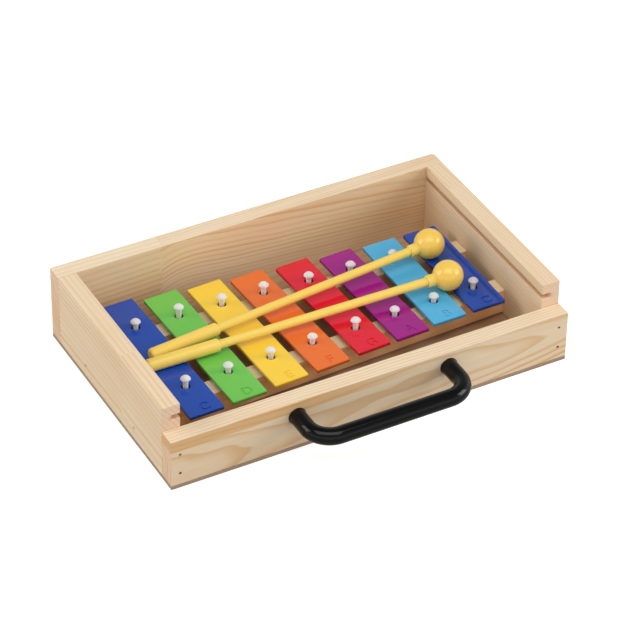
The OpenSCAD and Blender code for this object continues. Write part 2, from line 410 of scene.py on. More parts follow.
def makeRingGroup():
    # growth rings round a pith line along X, with the fibres running along X
    group, given, out = startGroup(
        "growthRings",
        [("Vector", "Vector", None), ("Spacing", "Float", 0.0022),
         ("Waviness", "Float", 0.002), ("Seed", "Float", 0)],
        [("Rings", "Float"), ("Fibre", "Float"), ("Patches", "Float")])
    slow = noiseAt(group, given["Vector"], 14, 3, (0.35, 1, 1))
    wide = addNode(group, "ShaderNodeVectorMath",
                   {0: slow["Color"], 1: (0.5, 0.5, 0.5)}, operation="SUBTRACT")
    shift = addNode(group, "ShaderNodeVectorMath", {0: wide.outputs[0]}, operation="SCALE")
    group.links.new(calc(group, "MULTIPLY", given["Waviness"], 4.0), shift.inputs["Scale"])
    bent = addNode(group, "ShaderNodeVectorMath", {0: given["Vector"], 1: shift.outputs[0]}, operation="ADD")
    split = axesOf(group, bent.outputs[0])
    radius = calc(group, "SQRT", calc(group, "ADD",
                                      calc(group, "MULTIPLY", split[1], split[1]),
                                      calc(group, "MULTIPLY", split[2], split[2])))
    count = calc(group, "DIVIDE", radius, given["Spacing"])
    phase = calc(group, "FRACT", count)
    number = calc(group, "FLOOR", count)
    drawn = calc(group, "ADD", number, calc(group, "MULTIPLY", given["Seed"], 97.0))
    chance = addNode(group, "ShaderNodeTexWhiteNoise", {"W": drawn}, noise_dimensions="1D").outputs["Value"]
    rise = ease(group, phase, 0.42, 0.88)
    fall = ease(group, phase, 0.9, 1.0, 1.0, 0.0)
    strength = calc(group, "MULTIPLY_ADD", calc(group, "POWER", chance, 2.0), 0.75, 0.35)
    rings = calc(group, "MULTIPLY", calc(group, "MULTIPLY", rise, fall), strength)
    fine = noiseAt(group, given["Vector"], 900, 3, (0.03, 1, 1))
    coarse = noiseAt(group, given["Vector"], 260, 2, (0.04, 1, 1))
    fibre = calc(group, "ADD", calc(group, "MULTIPLY", fine[0], 0.5),
                 calc(group, "MULTIPLY", coarse[0], 0.5))
    patches = noiseAt(group, given["Vector"], 11, 3, (0.4, 1, 1))
    group.links.new(rings, out["Rings"])
    group.links.new(fibre, out["Fibre"])
    group.links.new(patches[0], out["Patches"])
    return group


def makeJointGroup():
    # a zigzag finger joint across a board: which of the two lengths a point is in, and the glue line
    group, given, out = startGroup(
        "fingerJoint",
        [("Along", "Float", 0), ("Across", "Float", 0), ("Place", "Float", 0),
         ("Tooth", "Float", 0.0028), ("Reach", "Float", 0.0035)],
        [("Side", "Float"), ("Glue", "Float")])
    wave = calc(group, "DIVIDE", calc(group, "PINGPONG", given["Across"], given["Tooth"]), given["Tooth"])
    edge = calc(group, "MULTIPLY_ADD", wave, given["Reach"], given["Place"])
    gap = calc(group, "SUBTRACT", given["Along"], edge)
    group.links.new(calc(group, "GREATER_THAN", gap, 0.0), out["Side"])
    group.links.new(ease(group, calc(group, "ABSOLUTE", gap), 0.0001, 0.0004, 1.0, 0.0), out["Glue"])
    return group


ringGroup = makeRingGroup()
jointGroup = makeJointGroup()


# nails and screws
fastener = {
    "nailHead": 2.2 * mm,
    "nailShank": 1.4 * mm,
    "nailSunk": 0.35 * mm,
    "nailPoint": 1.5 * mm,
    "screwHead": 8 * mm,
    "screwHeight": 2.4 * mm,
    "screwShank": 4 * mm,
    "screwPoint": 3 * mm,
    "slotWidth": 1.1 * mm,
    "slotLength": 4.6 * mm,
    "slotDepth": 1.3 * mm,
    "steel": (0.34, 0.23, 0.14),
    "zinc": (0.55, 0.54, 0.5),
}


def metalMaterial(name, color, metallic, roughness):
    material, tree, shader, coords = startMaterial(name)
    stain = noiseAt(tree, coords["Object"], 1500, 3)
    dull = tuple(channel * 0.5 for channel in color)
    feed(shader, "Base Color", blendColors(tree, ease(tree, stain[0], 0.4, 0.65), color, dull))
    feed(shader, "Metallic", metallic)
    feed(shader, "Roughness", roughness)
    addBump(shader, stain[0], 0.3, 0.05 * mm)
    return material


def shanksOf(node):
    # where each nail's or screw's head ends, which way it points out of the wood, and its length
    found = []
    for low, high in solidsOf(node):
        size, middle = high - low, (low + high) / 2
        axis = max(range(3), key=lambda k: size[k])
        out = Vector((0, 0, 0))
        out[axis] = -1 if axis == 2 or middle[axis] < 0 else 1
        found.append((middle + out * size[axis] / 2, out, size[axis]))
    return found


def drillNails(board, low, high):
    # shallow holes where nails have been punched just below this board's faces
    drills = []
    for node in ("corner_nails", "rail_nails", "panel_nails"):
        for head, out, _ in shanksOf(node):
            if all(low[k] - 0.0001 < head[k] < high[k] + 0.0001 for k in range(3)):
                deselectAll()
                bpy.ops.mesh.primitive_cylinder_add(vertices=20, radius=fastener["nailHead"] / 2,
                                                    depth=fastener["nailSunk"] * 2, location=head,
                                                    rotation=out.to_track_quat("Z", "Y").to_euler())
                drills.append(bpy.context.object)
    if drills:
        cutAway(board, joinPieces("drills", drills))


def makeNails(node, name, material):
    nails, places = [], shanksOf(node)
    headR, shankR, length = fastener["nailHead"] / 2, fastener["nailShank"] / 2, places[0][2]
    rings = [(-length, 0.1 * mm), (-length + fastener["nailPoint"], shankR), (-1.0 * mm, shankR)]
    rings += [(-0.8 * mm, headR), (-fastener["nailSunk"] - 0.1 * mm, headR)]
    rings.append((-fastener["nailSunk"], headR - 0.2 * mm))
    pattern = turnOnLathe("nailPattern", rings, 20)
    for head, out, _ in places:
        nail = copyOf(pattern, "nail")
        place(nail, Matrix.Translation(head) @ out.to_track_quat("Z", "Y").to_matrix().to_4x4())
        nails.append(nail)
    discard(pattern)
    finishPiece(joinPieces(name, nails), material, "case", [node])


def makeScrews(material):
    screws, boxes = [], solidsOf("handle_screws")
    headR, shankR = fastener["screwHead"] / 2, fastener["screwShank"] / 2
    length = boxes[0][1].y - boxes[0][0].y
    neck = length - fastener["screwHeight"]
    rings = [(0, 0.4 * mm), (fastener["screwPoint"], shankR), (neck, shankR), (neck, headR)]
    rings += [(neck + 0.8 * mm, headR), (neck + 1.5 * mm, headR - 0.3 * mm)]
    rings += [(length - 0.3 * mm, headR - 1.0 * mm), (length, headR - 2 * mm)]
    pattern = turnOnLathe("screwPattern", rings, 40)
    narrow, long = fastener["slotWidth"], fastener["slotLength"]
    slots = []
    for wide, tall in ((narrow, long), (long, narrow)):
        slots.append(addBlock("slot", Vector((-wide / 2, -tall / 2, length - fastener["slotDepth"])),
                              Vector((wide / 2, tall / 2, length + 1 * mm))))
    cutAway(pattern, *slots)
    softenEdges(pattern, 0.08 * mm, 2)
    lying = Matrix.Rotation(math.radians(-90), 4, "X")
    for low, high in boxes:
        screw = copyOf(pattern, "screw")
        middle = (low + high) / 2
        place(screw, Matrix.Translation((middle.x, low.y, middle.z)) @ lying)
        screws.append(screw)
    discard(pattern)
    finishPiece(joinPieces("handleScrews", screws), material, "case", ["handle_screws"])


nailSteel = metalMaterial("nailSteel", fastener["steel"], 0.3, 0.6)
makeNails("corner_nails", "cornerNails", nailSteel)
makeNails("rail_nails", "railNails", nailSteel)
makeNails("panel_nails", "panelNails", nailSteel)
makeScrews(metalMaterial("zincPlate", fastener["zinc"], 1.0, 0.35))
print("nails and screws are made")


# the wooden case
pine = {
    "early": (0.80, 0.65, 0.46),
    "late": (0.64, 0.33, 0.095),
    "topPale": (0.85, 0.73, 0.55),
    "fibreContrast": 0.11,
    "endGrain": (0.76, 0.53, 0.42),
    # painted shade with its brown bounce light, laid inside the lid groove
    "grooveShade": (0.70, 0.40, 0.19),
    "edge": 0.5 * mm,
}

case = {
    "grooveDepth": 6.3 * mm,
    "grooveLow": 46.6 * mm,
    "grooveHigh": 50.4 * mm,
    "grooveShadeReach": 144.5 * mm,  # how far from the middle of the case the groove's painted shade reaches
    "cornerRound": 3 * mm,
}

# Each board is one or two lengths, finger jointed. A length keeps the line of its tree's middle (the pith):
# the point it passes and its lean in degrees, sideways and up, then the width of a year's growth and how far
# the rings wander. A swell is a place where they rise or sink round a knot. All places are in millimetres.
# A board's wood can be warmer, its top paler, and its year lines stronger, on the faces or on the ends.
boards = {
    "back_wall": {
        "along": "X", "joint": -74, "warm": 0.36, "pale": 0.75, "lines": 0.66, "ends": 2.0, "lengths": [
            {"pith": (-110, 40, 85), "lean": (0, 1), "ring": 3.6, "wander": 1.6, "seed": 3},
            {"pith": (0, 36, 72), "lean": (2.0, -2.6), "ring": 2.4, "wander": 3.0, "seed": 8,
             "swell": (-90, 22, -15)}]},
    "front_wall": {
        "along": "X", "warm": 0.1, "pale": 0.4, "lines": 1.15, "ends": 1.3,
        "heart": {"from": 30.5, "fadeOut": (-40, 50), "depth": 0.62}, "lengths": [
            {"pith": (0, -52, 21), "lean": (1.6, 3.4), "ring": 2.3, "wander": 3.4, "seed": 13}]},
    "left_wall": {
        "along": "Y", "joint": -20, "warm": 0.06, "pale": 0.0, "lines": 0.45, "ends": 0.8, "lengths": [
            {"pith": (-250, -50, -30), "lean": (1.2, 2.6), "ring": 3.0, "wander": 1.6, "seed": 21},
            {"pith": (-246, 20, -34), "lean": (0.4, 0.5), "ring": 2.8, "wander": 1.2, "seed": 26}]},
    "right_wall": {
        "along": "Y", "joint": 46, "warm": 0.2, "pale": 0.15, "lines": 0.5, "ends": 0.8, "lengths": [
            {"pith": (220, 0, -24), "lean": (-1.0, 1.8), "ring": 1.7, "wander": 1.4, "seed": 34},
            {"pith": (210, 60, -60), "lean": (0, 1), "ring": 1.6, "wander": 1, "seed": 39}]},
}


def lengthVector(tree, coords, board, length):
    # the pith line is brought onto the X axis
    flat = coords["Object"]
    point = Vector(length["pith"]) * mm
    if board["along"] == "Y":
        quarter = (0, 0, -math.pi / 2)
        flat = addNode(tree, "ShaderNodeMapping", {"Vector": flat, "Rotation": quarter}).outputs[0]
        point = Vector((point.y, -point.x, point.z))
    if "swell" in length:
        middle, width, rise = [value * mm for value in length["swell"]]
        split = axesOf(tree, flat)
        off = calc(tree, "DIVIDE", calc(tree, "SUBTRACT", split[0], middle), width)
        bell = calc(tree, "EXPONENT", calc(tree, "MULTIPLY", calc(tree, "MULTIPLY", off, off), -1.0))
        raised = calc(tree, "SUBTRACT", split[2], calc(tree, "MULTIPLY", bell, rise))
        flat = addNode(tree, "ShaderNodeCombineXYZ", {0: split[0], 1: split[1], 2: raised}).outputs[0]
    sideways, up = [math.radians(angle) for angle in length["lean"]]
    turned = Euler((0, up, -sideways))
    shift = Vector((length["seed"] * 0.13, 0, 0)) - turned.to_matrix() @ point
    inputs = {"Vector": flat, "Location": shift, "Rotation": turned}
    return addNode(tree, "ShaderNodeMapping", inputs).outputs[0]


def woodShader(tree, shader, grain, finish, topMask, endMask=None, glue=None, band=None):
    late = finish["late"]
    pale = calc(tree, "MULTIPLY", topMask, finish["pale"])
    color = blendColors(tree, pale, finish["early"], finish["topPale"])
    color = blendColors(tree, ease(tree, grain["Patches"], 0.42, 0.75, 0.0, 0.3), color, late)
    fibre = calc(tree, "SUBTRACT", grain["Fibre"], 0.4)
    fibreTone = calc(tree, "MULTIPLY", fibre, finish["fibreContrast"] * 5, clamp=True)
    color = blendColors(tree, fibreTone, color, late)
    ringTone = calc(tree, "MULTIPLY", grain["Rings"], finish["contrast"])
    topTone = ease(tree, topMask, 0, 1, 1.0, 1 - 0.45 * finish["pale"])
    ringTone = calc(tree, "MULTIPLY", ringTone, topTone)
    if endMask is not None:
        color = blendColors(tree, calc(tree, "MULTIPLY", endMask, 0.5), color, finish["endGrain"])
        endTone = ease(tree, endMask, 0, 1, 1.0, finish["ends"])
        ringTone = calc(tree, "MULTIPLY", ringTone, endTone, clamp=True)
    color = blendColors(tree, ringTone, color, late)
    if band is not None:
        color = blendColors(tree, band, color, late)
    if glue is not None:
        color = blendColors(tree, calc(tree, "MULTIPLY", glue, 0.3), color, finish["endGrain"])
    feed(shader, "Base Color", color)
    feed(shader, "Roughness", calc(tree, "MULTIPLY_ADD", grain["Fibre"], 0.25, 0.42))
    feed(shader, "Specular IOR Level", 0.35)
    height = calc(tree, "MULTIPLY", grain["Fibre"], 0.6)
    height = calc(tree, "ADD", height, calc(tree, "MULTIPLY", grain["Rings"], 0.4))
    addBump(shader, height, 0.25, 0.15 * mm)


def grainOf(tree, coords, board, length):
    return useGroup(tree, ringGroup, {"Vector": lengthVector(tree, coords, board, length),
                                      "Spacing": length["ring"] * mm, "Waviness": length["wander"] * mm,
                                      "Seed": length["seed"]})


def mixValue(tree, amount, first, second):
    return addNode(tree, "ShaderNodeMix", {0: amount, 2: first, 3: second}).outputs[0]


def boardMaterial(node):
    board = boards[node]
    material, tree, shader, coords = startMaterial("pine_" + node)
    split = axesOf(tree, coords["Object"])
    facing = axesOf(tree, coords["Normal"])
    axis = 1 if board["along"] == "Y" else 0
    endMask = ease(tree, calc(tree, "ABSOLUTE", facing[axis]), 0.7, 0.95)
    topMask = ease(tree, facing[2], 0.6, 0.9)
    grain = grainOf(tree, coords, board, board["lengths"][0])
    glue = None
    if "joint" in board:
        joint = useGroup(tree, jointGroup, {"Along": split[axis], "Across": split[2],
                                            "Place": board["joint"] * mm})
        other = grainOf(tree, coords, board, board["lengths"][1])
        grain = {key: mixValue(tree, joint["Side"], grain[key], other[key])
                 for key in ("Rings", "Fibre", "Patches")}
        glue = joint["Glue"]
    band = None
    if "heart" in board:  # a tan streak of heartwood along the top
        heart = board["heart"]
        wave = calc(tree, "MULTIPLY", calc(tree, "SUBTRACT", grain["Patches"], 0.5), 6 * mm)
        level = calc(tree, "ADD", split[2], wave)
        edge = ease(tree, level, heart["from"] * mm, (heart["from"] + 1.2) * mm)
        fade = ease(tree, split[0], heart["fadeOut"][0] * mm, heart["fadeOut"][1] * mm, heart["depth"], 0.05)
        side = calc(tree, "SUBTRACT", 1.0, topMask)
        band = calc(tree, "MULTIPLY", calc(tree, "MULTIPLY", edge, fade), side)
    finish = dict(pine)
    finish["pale"], finish["ends"], finish["contrast"] = board["pale"], board["ends"], board["lines"]
    finish["early"] = tuple(base * (1 - board["warm"] * cut)
                            for base, cut in zip(pine["early"], (0.02, 0.14, 0.32)))
    woodShader(tree, shader, grain, finish, topMask, endMask, glue, band)
    if board["along"] == "Y":  # the lid groove's faces are painted browner than the board's own, as painted shade
        low, high, reach = case["grooveLow"], case["grooveHigh"], case["grooveShadeReach"]
        inGroove = calc(tree, "MULTIPLY", ease(tree, split[2], low - 0.1 * mm, low),
                        ease(tree, split[2], high, high + 0.1 * mm, 1.0, 0.0))
        inside = ease(tree, calc(tree, "ABSOLUTE", split[0]), reach, reach + 0.5 * mm, 1.0, 0.0)
        cut = calc(tree, "MULTIPLY", inGroove, inside)
        tintShader(shader, calc(tree, "MULTIPLY", cut, 0.6), pine["grooveShade"])
    return material


def makeWall(node, name):
    low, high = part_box(node)
    wall = addBlock(name, low, high)
    if node in ("left_wall", "right_wall"):
        inner = high.x if node == "left_wall" else low.x
        groove = addBlock("groove", Vector((inner - case["grooveDepth"], low.y - 0.01, case["grooveLow"])),
                          Vector((inner + case["grooveDepth"], high.y + 0.01, case["grooveHigh"])))
        cutAway(wall, groove)
    if node == "back_wall":
        backY = (low.y + high.y) / 2
        pickEdges(wall, lambda middle, way: abs(way.z) > 0.9 and middle.x > 0 and middle.y > backY)
        bpy.ops.mesh.bevel(offset=case["cornerRound"], segments=5)
        objectMode()
    softenEdges(wall, pine["edge"], 2)
    drillNails(wall, low, high)
    finishPiece(wall, boardMaterial(node), "case", [node])


makeWall("back_wall", "backWall")
makeWall("front_wall", "frontWall")
makeWall("left_wall", "leftWall")
makeWall("right_wall", "rightWall")
print("the four pine walls are made")


sheet = {
    "face": (0.53, 0.335, 0.19),
    "edge": (0.24, 0.17, 0.115),
    "edgePale": (0.5, 0.36, 0.24),
    "dark": (0.2, 0.1, 0.05),
    "layer": 0.75 * mm,
    "edgeRound": 0.4 * mm,
}


def panelMaterial():
    material, tree, shader, coords = startMaterial("brownSheet")
    sheetGrain = {"pith": (0, 12, 60), "lean": (4, 1), "ring": 5, "wander": 4, "seed": 50}
    grain = grainOf(tree, coords, {"along": "X"}, sheetGrain)
    facing = axesOf(tree, coords["Normal"])
    upright = ease(tree, calc(tree, "ABSOLUTE", facing[2]), 0.3, 0.7)
    height = axesOf(tree, coords["Object"])[2]
    layers = ease(tree, calc(tree, "PINGPONG", height, sheet["layer"]), 0.0, sheet["layer"])
    speck = noiseAt(tree, coords["Object"], 700, 3)
    edgeTone = calc(tree, "ADD", calc(tree, "MULTIPLY", layers, 0.35), calc(tree, "MULTIPLY", speck[0], 0.5))
    edgeColor = blendColors(tree, edgeTone, sheet["edge"], sheet["edgePale"])
    faceColor = sheet["face"]
    for pattern, amount in (("Rings", 0.4), ("Patches", 0.3)):
        tone = calc(tree, "MULTIPLY", grain[pattern], amount)
        faceColor = blendColors(tree, tone, faceColor, sheet["dark"])
    feed(shader, "Base Color", blendColors(tree, upright, edgeColor, faceColor))
    feed(shader, "Roughness", 0.7)
    addBump(shader, speck[0], 0.3, 0.2 * mm)
    return material


low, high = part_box("bottom_panel")
panel = addBlock("bottomPanel", low, high)
softenEdges(panel, sheet["edgeRound"], 2)
drillNails(panel, low, high)
finishPiece(panel, panelMaterial(), "case", ["bottom_panel"])
print("the bottom panel is made")


# the two rails
rail = {
    "width": 14 * mm,
    "early": (0.98, 0.63, 0.35),
    "late": (0.62, 0.33, 0.12),
    # the paler top is partly the pale sawn wood and partly painted light on the tops between the bars
    "topPale": (1.0, 0.82, 0.52),
    "pale": 1.0,
    "ring": 3.2,
    "contrast": 0.35,
    "fibreContrast": 0.1,
    "edge": 0.35 * mm,
    "sawMark": 1.7 * mm,
    "sawDepth": 0.55,
    "sawn": (0.66, 0.38, 0.17),
}


def railMaterial(turn):
    material, tree, shader, coords = startMaterial("sawnPine")
    railGrain = {"pith": (0, 30, -20), "lean": (math.degrees(turn), 2), "ring": rail["ring"],
                 "wander": 2.5, "seed": 60}
    facing = axesOf(tree, coords["Normal"])
    onTop = ease(tree, facing[2], 0.5, 0.9)
    woodShader(tree, shader, grainOf(tree, coords, {"along": "X"}, railGrain), rail, onTop)
    wobble = noiseAt(tree, coords["Object"], 120, 2, (1, 0.3, 0.3))
    spot = axesOf(tree, coords["Object"])
    along = calc(tree, "ADD", spot[0], calc(tree, "MULTIPLY", wobble[0], 2.5 * mm))
    saw = calc(tree, "PINGPONG", along, rail["sawMark"] / 2)
    ridge = ease(tree, saw, 0.0, rail["sawMark"] / 2)
    lines = calc(tree, "MULTIPLY", calc(tree, "POWER", ridge, 2.0), onTop)
    tintShader(shader, calc(tree, "MULTIPLY", lines, rail["sawDepth"]), rail["sawn"])
    return material


def makeRail(node, name):
    low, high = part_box(node)
    middle = (low + high) / 2
    sideways = high.y - low.y - rail["width"]
    turn = math.atan2(sideways, high.x - low.x) * (1 if node == "front_rail" else -1)
    piece = addBlock(name, Vector((low.x - 0.01, middle.y - rail["width"] / 2, low.z)),
                     Vector((high.x + 0.01, middle.y + rail["width"] / 2, high.z)))
    place(piece, Matrix.Translation(middle) @ Matrix.Rotation(turn, 4, "Z") @ Matrix.Translation(-middle))
    for end, way in ((low.x, -1), (high.x, 1)):  # sawn off flush with the side walls
        editAll(piece)
        bpy.ops.mesh.bisect(plane_co=(end, 0, 0), plane_no=(way, 0, 0), use_fill=True, clear_outer=True)
        objectMode()
    softenEdges(piece, rail["edge"], 2)
    finishPiece(piece, railMaterial(turn), "case", [node])


makeRail("back_rail", "backRail")
makeRail("front_rail", "frontRail")
print("the two rails are made")


# the eight bars
barFinish = {
    "cornerRound": 1.0 * mm,
    "edge": 0.45 * mm,
    "hole": 6.1 * mm,
    "rim": 0.4 * mm,
    "letterHeight": 7.6 * mm,
    "letterHeavy": 0.18 * mm,
    "letterDepth": 0.5 * mm,
    "letterInset": 6.0 * mm,  # from the bar's front end to the letter's middle
    "letterSide": 1.0 * mm,  # to the right of the bar's middle
    "width": 25.5 * mm,
    "paintedSideShade": 0.6,  # how much darker the sides are painted: painted shade
    "sideFrom": 0.5 * mm,  # below the top, where they begin to darken
    "sideFull": 1.2 * mm,
}

barColors = {
    "bar_low_c": ("C", (0.010, 0.068, 0.42)),
    "bar_d": ("D", (0.165, 0.56, 0.085)),
    "bar_e": ("E", (0.97, 0.64, 0.055)),
    "bar_f": ("F", (0.83, 0.17, 0.03)),
    "bar_g": ("G", (0.74, 0.012, 0.035)),
    "bar_a": ("A", (0.35, 0.009, 0.23)),
    "bar_b": ("B", (0.085, 0.455, 0.76)),
    "bar_high_c": ("C", (0.010, 0.068, 0.42)),
}


def lacquerMaterial(name, color, top):
    material, tree, shader, coords = startMaterial("lacquer_" + name)
    drift = noiseAt(tree, coords["Object"], 40, 2)
    speck = noiseAt(tree, coords["Object"], 900, 2)
    pool = ease(tree, drift[0], 0.35, 0.7, 0.0, 0.1)
    darker = tuple(channel * 0.82 for channel in color)
    sideShadeColor = tuple(channel * barFinish["paintedSideShade"] for channel in color)
    face = blendColors(tree, pool, color, darker)
    height = axesOf(tree, coords["Object"])[2]
    # the sides and the hole walls below the top are painted darker, as painted shade
    below = ease(tree, height, top - barFinish["sideFull"], top - barFinish["sideFrom"], 1.0, 0.0)
    feed(shader, "Base Color", blendColors(tree, below, face, sideShadeColor))
    feed(shader, "Roughness", 0.5)
    feed(shader, "Specular IOR Level", 0.0)
    feed(shader, "Coat Weight", 1.0)
    feed(shader, "Coat IOR", 1.56)
    feed(shader, "Coat Roughness", ease(tree, speck[0], 0.55, 0.75, 0.012, 0.05))
    ripple = calc(tree, "ADD", calc(tree, "MULTIPLY", drift[0], 0.8), calc(tree, "MULTIPLY", speck[0], 0.05))
    addBump(shader, ripple, 0.06, 0.1 * mm, "Coat Normal")
    return material


def barPlace(node):
    # the bar's middle, length, turn and thickness, from the frame
    low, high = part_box(node)
    axis = next(Vector(joint["axis"]) for joint in frame["joints"] if joint["child"] == node + "_body")
    turn = math.atan2(-axis.x, axis.y)
    length = ((high.y - low.y) - barFinish["width"] * abs(math.sin(turn))) / math.cos(turn)
    return (low + high) / 2, length, turn, high.z - low.z


def letterCutter(letter, length, top):
    deselectAll()
    bpy.ops.object.text_add()
    words = bpy.context.object
    words.data.body = letter
    words.data.size = barFinish["letterHeight"] / 0.72
    words.data.offset = barFinish["letterHeavy"]
    words.data.resolution_u = 4
    words.data.align_x = "CENTER"
    words.data.align_y = "CENTER"
    words.data.extrude = barFinish["letterDepth"]
    bpy.ops.object.convert(target="MESH")
    stamp = bpy.context.object
    editAll(stamp)
    bpy.ops.mesh.remove_doubles(threshold=0.000001)
    bpy.ops.mesh.normals_make_consistent(inside=False)
    objectMode()
    place(stamp, Matrix.Translation((barFinish["letterSide"], barFinish["letterInset"] - length / 2, top)))
    return stamp


def makeDrill(thick):
    # a drill that also rounds the hole's two rims
    holeR, rim = barFinish["hole"] / 2, barFinish["rim"]
    upper = []
    for step in range(4):
        angle = math.radians(80 * step / 3)
        upper.append((thick / 2 - rim + rim * math.sin(angle), holeR + rim - rim * math.cos(angle)))
    upper.append((thick / 2 + 1 * mm, upper[-1][1]))
    return turnOnLathe("drill", [(-z, radius) for z, radius in reversed(upper)] + upper, 48)


def makeBar(node):
    letter, color = barColors[node]
    middle, length, turn, thick = barPlace(node)
    width = barFinish["width"]
    bar = addBlock(node.replace("_", ""), Vector((-width / 2, -length / 2, -thick / 2)),
                   Vector((width / 2, length / 2, thick / 2)))
    pickEdges(bar, lambda centre, way: abs(way.z) > 0.9)
    bpy.ops.mesh.bevel(offset=barFinish["cornerRound"], segments=4)
    objectMode()
    softenEdges(bar, barFinish["edge"], 3)
    toBar = Matrix.Translation(middle) @ Matrix.Rotation(turn, 4, "Z")
    drills = []
    for row in ("front_pins", "back_pins"):
        spots = [toBar.inverted() @ ((pinLow + pinHigh) / 2) for pinLow, pinHigh in solidsOf(row)]
        spot = min(spots, key=lambda found: abs(found.x))
        drill = makeDrill(thick)
        place(drill, Matrix.Translation((0, spot.y, 0)))
        drills.append(drill)
    cutAway(bar, *drills)
    stamp = letterCutter(letter, length, thick / 2)
    useModifier(bar, "BOOLEAN", operation="DIFFERENCE", solver="EXACT", use_self=True, object=stamp)
    discard(stamp)
    useModifier(bar, "TRIANGULATE", quad_method="BEAUTY", ngon_method="BEAUTY")
    place(bar, toBar)
    lacquer = lacquerMaterial(node, color, middle.z + thick / 2)
    finishPiece(bar, lacquer, node + "_body", [node], 30)


for barNode in barColors:
    makeBar(barNode)
print("the eight bars are made")


# pins and washers
pin = {
    "shank": 3.7 * mm,
    "head": 7.2 * mm,
    "dome": 2.5 * mm,
    "tip": 1.2 * mm,
    "length": 26 * mm,  # under the head, before each one is fitted
    "rim": 0.35 * mm,
    "neck": 0.4 * mm,
    "domeSteps": 8,
    "color": (0.72, 0.705, 0.69),
    "shade": (0.6, 0.59, 0.58),
}


def pinMaterial():
    material, tree, shader, coords = startMaterial("milkyPlastic")
    cloud = noiseAt(tree, coords["Object"], 300, 2)
    color = blendColors(tree, ease(tree, cloud[0], 0.3, 0.7, 0.0, 0.3), pin["color"], pin["shade"])
    feed(shader, "Base Color", color)
    feed(shader, "Roughness", 0.55)
    feed(shader, "Specular IOR Level", 0.18)
    feed(shader, "Subsurface Weight", 1.0)
    feed(shader, "Subsurface Radius", (1, 1, 1))
    feed(shader, "Subsurface Scale", 3 * mm)
    return material


def makePinPattern():
    # the head's underside is at the origin
    headR, shankR, length = pin["head"] / 2, pin["shank"] / 2, pin["length"]
    domeR = (headR ** 2 + pin["dome"] ** 2) / (2 * pin["dome"])
    rings = [(-length, shankR * 0.55), (pin["tip"] * 0.6 - length, shankR * 0.8)]
    rings += [(pin["tip"] - length, shankR), (-pin["neck"], shankR)]
    rings += [(0, shankR + 0.3 * mm), (0, headR - 0.25 * mm)]
    rings += [(0.15 * mm, headR - 0.03 * mm), (pin["rim"], headR - 0.06 * mm)]
    for step in range(1, pin["domeSteps"] + 1):
        angle = math.radians(90 * step / pin["domeSteps"])
        rise = pin["rim"] + (pin["dome"] - pin["rim"]) * math.sin(angle)
        across = domeR ** 2 - (domeR - pin["dome"] + rise) ** 2
        rings.append((rise, max(math.sqrt(max(across, 0)), 0.05 * mm)))
    return turnOnLathe("pinPattern", rings, 32)


def makePins(node, name, pattern, material):
    pins = []
    for low, high in solidsOf(node):
        made = copyOf(pattern, "pin")
        longer = (high.z - low.z - pin["dome"]) - pin["length"]
        for vert in made.data.vertices:
            if vert.co.z < -2 * mm:
                vert.co.z -= longer
        place(made, Matrix.Translation(((low.x + high.x) / 2, (low.y + high.y) / 2, high.z - pin["dome"])))
        pins.append(made)
    finishPiece(joinPieces(name, pins), material, "case", [node], 50)


milky = pinMaterial()
pinPattern = makePinPattern()
makePins("back_pins", "backPins", pinPattern, milky)
makePins("front_pins", "frontPins", pinPattern, milky)
discard(pinPattern)


washer = {
    "edge": 0.5 * mm,
    "edgeMiddle": 0.15 * mm,
    "color": (0.015, 0.015, 0.015),
    "dust": (0.05, 0.045, 0.04),
}


def rubberMaterial():
    material, tree, shader, coords = startMaterial("washerRubber")
    grit = noiseAt(tree, coords["Object"], 900, 2)
    feed(shader, "Base Color", blendColors(tree, grit[0], washer["color"], washer["dust"]))
    feed(shader, "Roughness", 0.85)
    return material


def makeWasherPattern():
    low, high = solidsOf("front_washers")[0]
    outer, height = (high.x - low.x) / 2, high.z - low.z
    edge, middle = washer["edge"], washer["edgeMiddle"]
    rings = [(0, outer - edge), (middle, outer - middle), (edge, outer)]
    rings += [(height - edge, outer), (height - middle, outer - middle), (height, outer - edge)]
    pattern = turnOnLathe("washerPattern", rings, 32)
    deselectAll()
    bpy.ops.mesh.primitive_cylinder_add(vertices=32, radius=pin["shank"] / 2, depth=0.02)
    cutAway(pattern, bpy.context.object)
    return pattern


def makeWashers(node, name, pattern, material):
    washers = []
    for low, high in solidsOf(node):
        made = copyOf(pattern, "washer")
        place(made, Matrix.Translation(((low.x + high.x) / 2, (low.y + high.y) / 2, low.z)))
        washers.append(made)
    finishPiece(joinPieces(name, washers), material, "case", [node])


rubber = rubberMaterial()
washerPattern = makeWasherPattern()
makeWashers("back_washers", "backWashers", washerPattern, rubber)
makeWashers("front_washers", "frontWashers", washerPattern, rubber)
discard(washerPattern)
print("pins and washers are made")


# handle
handle = {
    "rod": 12 * mm,
    "bend": 16 * mm,
    "color": (0.0022, 0.002, 0.0022),
    "rim": 0.5 * mm,
    "rimLength": 0.8 * mm,
    "edge": 0.4 * mm,
    "sides": 48,
    "bendSteps": 18,
    "rubbed": (0.006, 0.0055, 0.005),
}


def handleMaterial():
    material, tree, shader, coords = startMaterial("blackPlastic")
    rub = noiseAt(tree, coords["Object"], 60, 4)
    grit = noiseAt(tree, coords["Object"], 1400, 2)
    color = blendColors(tree, ease(tree, rub[0], 0.5, 0.8, 0.0, 0.5), handle["color"], handle["rubbed"])
    feed(shader, "Base Color", color)
    feed(shader, "Roughness", ease(tree, rub[0], 0.3, 0.7, 0.08, 0.13))
    feed(shader, "Specular IOR Level", 0.25)
    addBump(shader, grit[0], 0.15, 0.05 * mm)
    return material


def bendRod(centre):
    bpy.ops.mesh.spin(steps=handle["bendSteps"], angle=-math.radians(90), center=centre, axis=(0, 0, 1))


